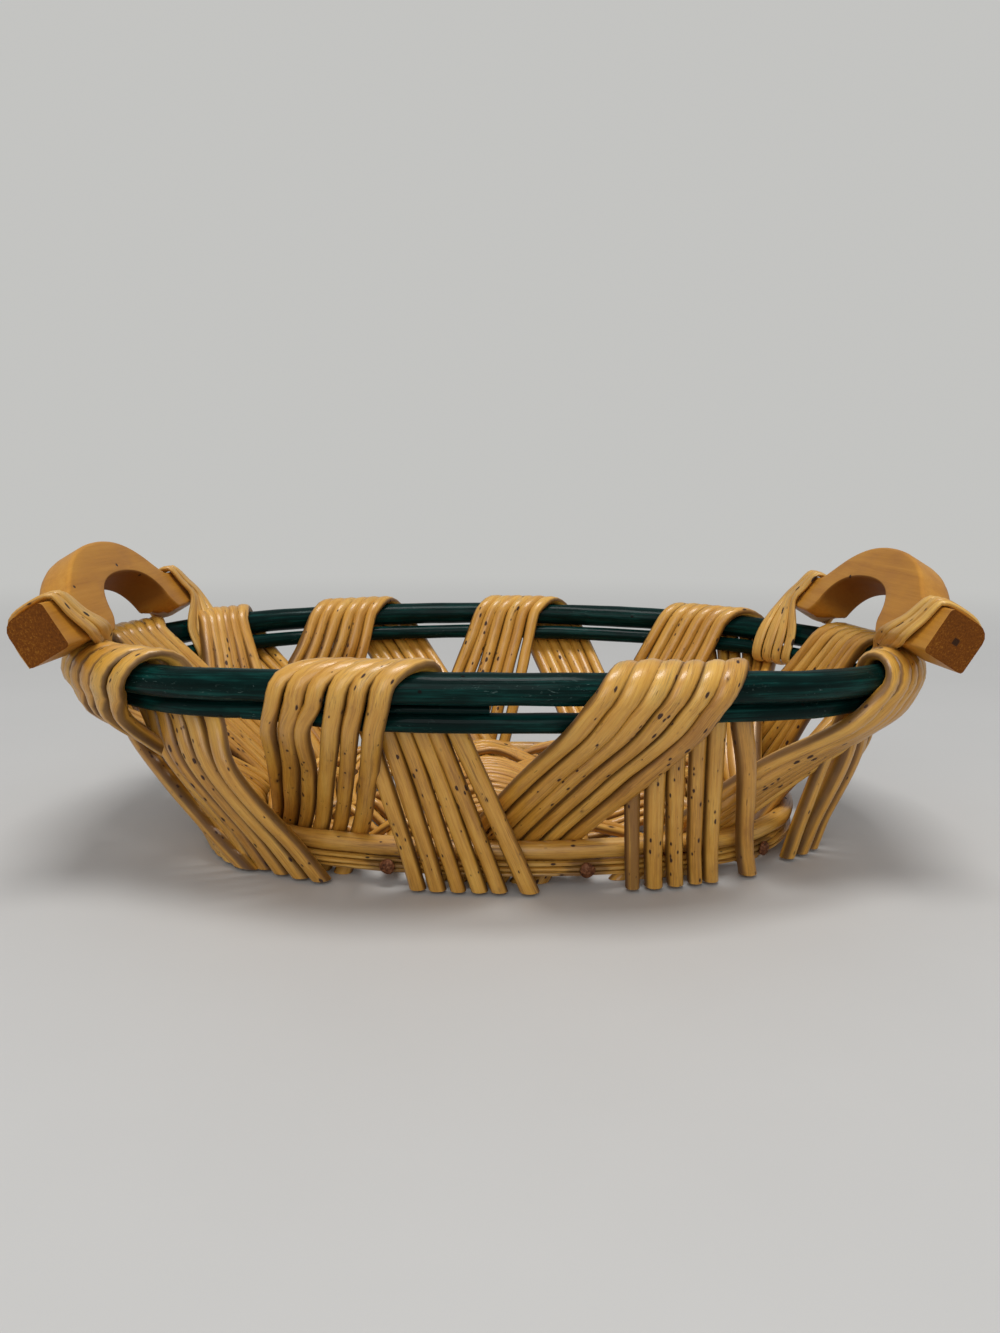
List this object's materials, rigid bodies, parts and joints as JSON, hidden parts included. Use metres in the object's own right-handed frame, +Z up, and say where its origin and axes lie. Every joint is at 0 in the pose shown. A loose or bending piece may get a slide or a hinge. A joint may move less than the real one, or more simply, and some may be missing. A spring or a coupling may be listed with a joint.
{
  "type": "wicker centerpiece basket",
  "caption": "Oblong open-work willow basket with a painted double rim, bundled side rods, a woven domed base and a carved wooden handle lashed to each end.",
  "frame": {"origin": "on the floor, under the middle of the basket's bounding box", "axes": "+X along the length towards the right-hand handle, +Y towards the back, +Z up"},
  "size_m": [0.391, 0.2628, 0.1335],
  "materials": {
    "green_paint": "glossy dark green paint, scuffed",
    "side_willow": "varnished peeled willow",
    "base_willow": "varnished peeled willow",
    "woven_willow": "satin peeled willow",
    "lashing_willow": "satin split willow",
    "handle_wood": "satin varnish",
    "rusty_steel": "rusty"
  },
  "bodies": {
    "root": {"base_hoop_lower": "base_willow", "base_hoop_upper": "base_willow", "base_nail_1": "rusty_steel", "base_nail_2": "rusty_steel", "base_nail_3": "rusty_steel", "base_nail_4": "rusty_steel", "base_nail_5": "rusty_steel", "base_nail_6": "rusty_steel", "base_stick_cross_1": "base_willow", "base_stick_cross_2": "base_willow", "base_stick_cross_3": "base_willow", "base_stick_left_1": "base_willow", "base_stick_left_2": "base_willow", "base_stick_left_3": "base_willow", "base_stick_left_4": "base_willow", "base_stick_left_5": "base_willow", "base_stick_right_1": "base_willow", "base_stick_right_2": "base_willow", "base_stick_right_3": "base_willow", "base_stick_right_4": "base_willow", "base_stick_right_5": "base_willow", "base_weavers_1": "woven_willow", "base_weavers_2": "woven_willow", "base_weavers_3": "woven_willow", "base_weavers_centre": "woven_willow", "handle_lashing_left_back": "lashing_willow", "handle_lashing_left_front": "lashing_willow", "handle_lashing_right_back": "lashing_willow", "handle_lashing_right_front": "lashing_willow", "handle_left": "handle_wood", "handle_right": "handle_wood", "rim_hoop_lower": "green_paint", "rim_hoop_upper": "green_paint", "side_rods_back_left_a": "side_willow", "side_rods_back_left_b": "side_willow", "side_rods_back_left_corner_a": "side_willow", "side_rods_back_left_corner_b": "side_willow", "side_rods_back_right_a": "side_willow", "side_rods_back_right_b": "side_willow", "side_rods_back_right_corner_a": "side_willow", "side_rods_back_right_corner_b": "side_willow", "side_rods_front_left_a": "side_willow", "side_rods_front_left_b": "side_willow", "side_rods_front_left_corner_a": "side_willow", "side_rods_front_left_corner_b": "side_willow", "side_rods_front_right_a": "side_willow", "side_rods_front_right_b": "side_willow", "side_rods_front_right_corner_a": "side_willow", "side_rods_front_right_corner_b": "side_willow", "side_rods_left_end_a": "side_willow", "side_rods_left_end_b": "side_willow", "side_rods_right_end_a": "side_willow", "side_rods_right_end_b": "side_willow"}
  },
  "joints": []
}
